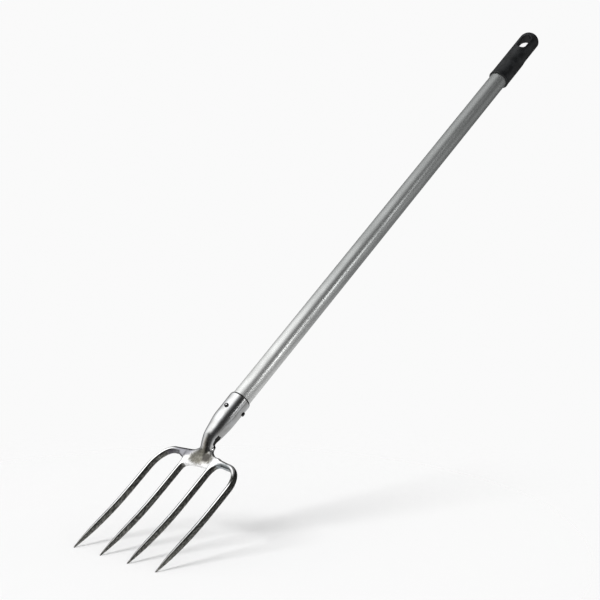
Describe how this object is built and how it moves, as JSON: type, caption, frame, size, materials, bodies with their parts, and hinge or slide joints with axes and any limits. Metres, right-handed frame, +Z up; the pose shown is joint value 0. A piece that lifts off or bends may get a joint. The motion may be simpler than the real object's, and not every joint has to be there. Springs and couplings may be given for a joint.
{
  "type": "long handled weeding fork",
  "caption": "Long-handled garden weeding fork: flat curved tines on a webbed steel head with a tapered socket, tubular metal handle and slotted black grip.",
  "frame": {"origin": "at the height of the tine tips, under the middle of the part's bounding box; the tube's axis is within a millimetre of it", "axes": "+Z up the handle from the tips to the grip, +X across the tines, -Y the front, towards which the tines curve"},
  "size_m": [0.1792, 0.0365, 1.143],
  "materials": {
    "brushed_steel": "polished and lightly brushed stainless steel",
    "satin_aluminium": "satin drawn tube",
    "black_plastic": "black moulded plastic with a soft sheen",
    "plug_plastic": "moulded",
    "rivet_steel": "blackened steel",
    "mandrel_steel": "bright"
  },
  "bodies": {
    "root": {"fork_head": "brushed_steel", "shaft_tube": "satin_aluminium", "shaft_plug": "plug_plastic", "end_grip": "black_plastic", "front_rivet": "rivet_steel", "side_rivet": "rivet_steel", "rear_rivet": "rivet_steel", "front_mandrel": "mandrel_steel", "side_mandrel": "mandrel_steel", "rear_mandrel": "mandrel_steel"}
  },
  "joints": []
}
